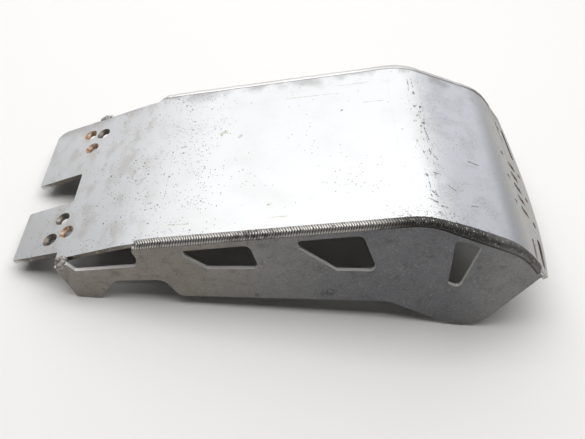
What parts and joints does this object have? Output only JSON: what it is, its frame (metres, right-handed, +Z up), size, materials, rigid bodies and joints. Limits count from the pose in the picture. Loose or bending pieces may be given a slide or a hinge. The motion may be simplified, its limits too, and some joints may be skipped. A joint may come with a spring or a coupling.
{
  "type": "motorcycle skid plate",
  "caption": "Bent aluminium skid plate with two pierced side plates welded along its edges, slotted nose and countersunk rear tabs.",
  "frame": {"origin": "on the floor under the middle of the plate's box, with the plate lying belly side up", "axes": "+X towards the nose, which is the front of the motorcycle, +Y towards the right-hand side of the motorcycle, +Z up out of the outer face of the belly"},
  "size_m": [0.5515, 0.274, 0.1387],
  "materials": {
    "belly_sheet": "satin, scuffed",
    "side_sheet": "dull, weathered",
    "weld_bead": "rippled, as welded"
  },
  "bodies": {
    "root": {"belly_plate": "belly_sheet", "left_side_plate": "side_sheet", "right_side_plate": "side_sheet", "left_seam_weld": "weld_bead", "right_seam_weld": "weld_bead", "left_tab_weld": "weld_bead", "right_tab_weld": "weld_bead"}
  },
  "joints": []
}
